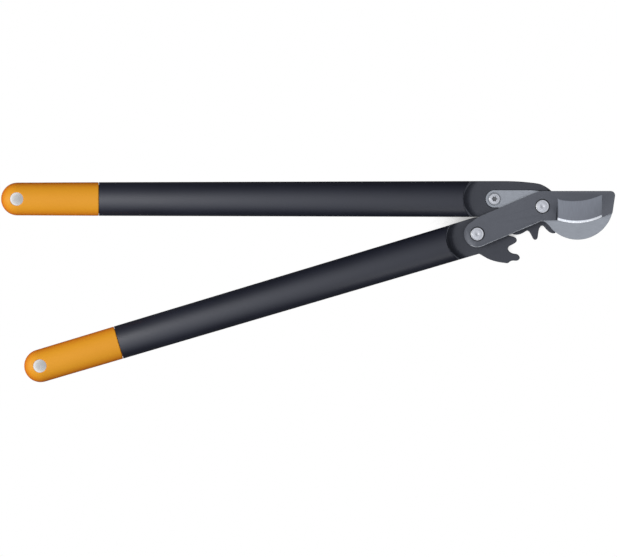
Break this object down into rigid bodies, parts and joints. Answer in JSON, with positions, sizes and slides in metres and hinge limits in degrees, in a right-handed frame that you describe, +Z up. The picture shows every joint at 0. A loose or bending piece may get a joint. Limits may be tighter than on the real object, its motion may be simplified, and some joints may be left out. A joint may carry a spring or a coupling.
{
  "type": "long-handled pruning shears",
  "caption": "Long-handled bypass pruning shears with oval handles, toothed heads that gear the jaw to the handles, a coated cutting blade and a fixed hook.",
  "frame": {"origin": "middle of the underside of the box round the whole tool, which lies flat with its jaw closed", "axes": "+X along the upper handle from the grip to the blade's tip, +Y across the tool from the lower handle to the upper one, +Z up, out of the face where the cutting blade is"},
  "size_m": [0.6916, 0.2266, 0.0283],
  "materials": {
    "tube_coating": "satin blue-black coating",
    "head_composite": "fine matt texture",
    "grip": "satin, faintly textured",
    "blade_coating": "dark satin non-stick coating, ground and honed along the edge",
    "hook_steel": "fine satin",
    "bright_steel": "turned, bright",
    "plain_steel": "plated",
    "thrust_washer": "plain"
  },
  "bodies": {
    "upper_handle": {"upper_grip": "grip", "upper_tube": "tube_coating", "upper_head": "head_composite", "hook_blade": "hook_steel", "tang_screw": "bright_steel", "tang_washer": "plain_steel", "tang_nut": "plain_steel", "pivot_bolt": "bright_steel", "pivot_sleeve": "plain_steel", "pivot_washer": "plain_steel", "pivot_nut": "plain_steel"},
    "blade": {"cutting_blade": "blade_coating", "lever_bolt": "bright_steel", "lever_washer": "plain_steel", "lever_nut": "plain_steel"},
    "lower_handle": {"lower_grip": "grip", "lower_tube": "tube_coating", "lower_head": "head_composite", "lever_sleeve": "plain_steel", "thrust_washer": "thrust_washer"}
  },
  "joints": [
    {"name": "blade_pivot", "type": "hinge", "parent": "upper_handle", "child": "blade", "pos_m": [0.26405, 0.08481, 0.01414], "axis": [0, 0, 1], "range_deg": [0, 50]},
    {"name": "lever_pivot", "type": "hinge", "parent": "blade", "child": "lower_handle", "pos_m": [0.1906, 0.05363, 0.01414], "axis": [0, 0, 1], "range_deg": [0, 40]}
  ],
  "couplings": [
    {"joint": "lever_pivot", "follows": "blade_pivot", "ratio": 0.8}
  ]
}
